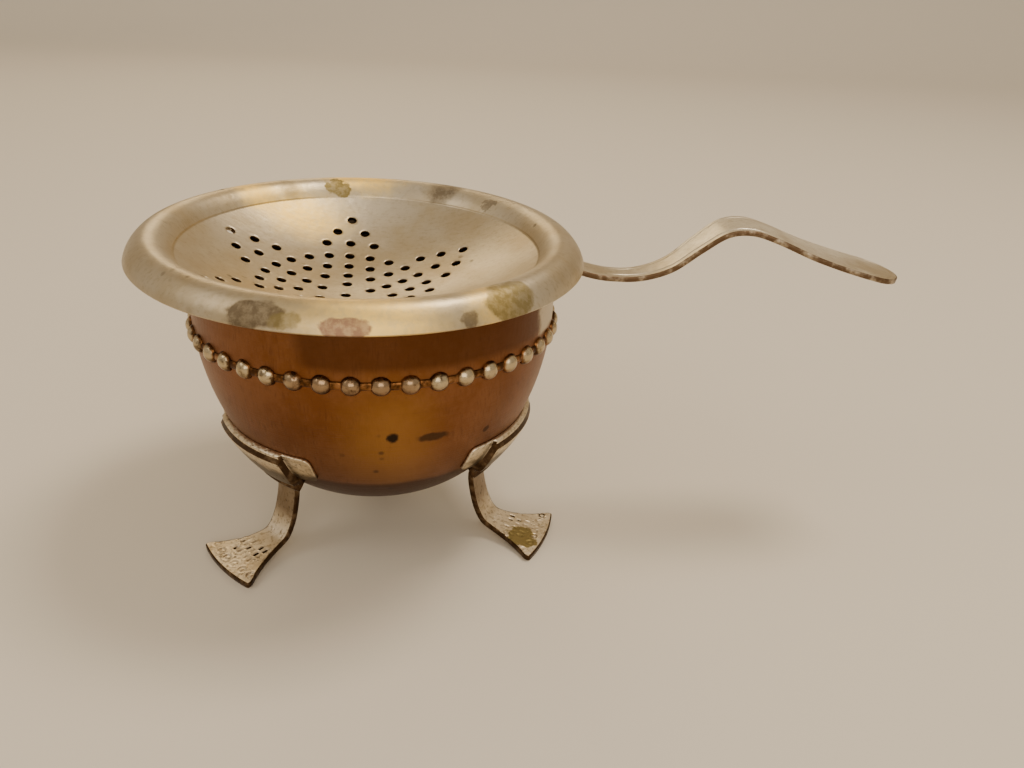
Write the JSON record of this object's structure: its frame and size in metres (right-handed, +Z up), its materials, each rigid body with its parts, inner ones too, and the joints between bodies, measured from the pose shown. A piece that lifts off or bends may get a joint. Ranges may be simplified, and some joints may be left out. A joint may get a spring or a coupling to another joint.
{
  "type": "tea strainer",
  "caption": "Pierced metal tea strainer with a wide rolled flange and an S-curved handle, resting on a round drip bowl with a beaded band and three splayed feet.",
  "frame": {"origin": "on the drip bowl's axis, in the plane that the three feet rest on", "axes": "+Z up along the drip bowl's axis, +X from the drip bowl towards the strainer's handle"},
  "size_m": [0.1309, 0.0756, 0.0566],
  "materials": {
    "worn_copper": "copper brown, its silver plate worn away, fine brushed lines",
    "band_plate": "silver plated beads with dark tarnish between them",
    "foot_plate": "silver plate, pitted and worn to brass in patches",
    "strainer_plate": "semi-polished silver plate with fine wear and tarnish spots",
    "handle_plate": "semi-polished silver plate"
  },
  "bodies": {
    "stand": {"drip_bowl": "worn_copper", "bead_band": "band_plate", "foot_left": "foot_plate", "foot_right": "foot_plate", "foot_back": "foot_plate"},
    "strainer": {"strainer_bowl": "strainer_plate", "handle": "handle_plate"}
  },
  "joints": [
    {"name": "strainer_lift", "type": "slide", "parent": "stand", "child": "strainer", "axis": [0, 0, 1], "range_m": [0, 0.06]}
  ]
}
